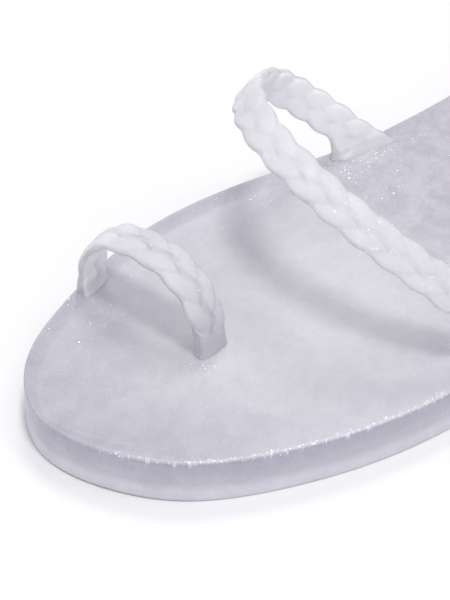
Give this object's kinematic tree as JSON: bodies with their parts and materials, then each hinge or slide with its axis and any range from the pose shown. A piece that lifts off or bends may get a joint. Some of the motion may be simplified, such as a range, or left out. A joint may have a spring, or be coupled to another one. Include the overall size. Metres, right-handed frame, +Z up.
{
  "type": "greek sandal",
  "caption": "Flat left sandal in clear glitter jelly plastic: a slab sole with a plaited loop for the big toe and a plaited band over the instep.",
  "frame": {"origin": "on the floor under the middle of the sole's outline", "axes": "+Y to the toes, +X to the inner side of the foot, +Z up"},
  "size_m": [0.0874, 0.2524, 0.0578],
  "materials": {
    "sole": "milky clear jelly with fine silver glitter, satin",
    "strap": "frosted clear jelly, satin"
  },
  "bodies": {
    "root": {"sole": "sole", "instep_strap": "strap", "toe_ring": "strap"}
  },
  "joints": []
}
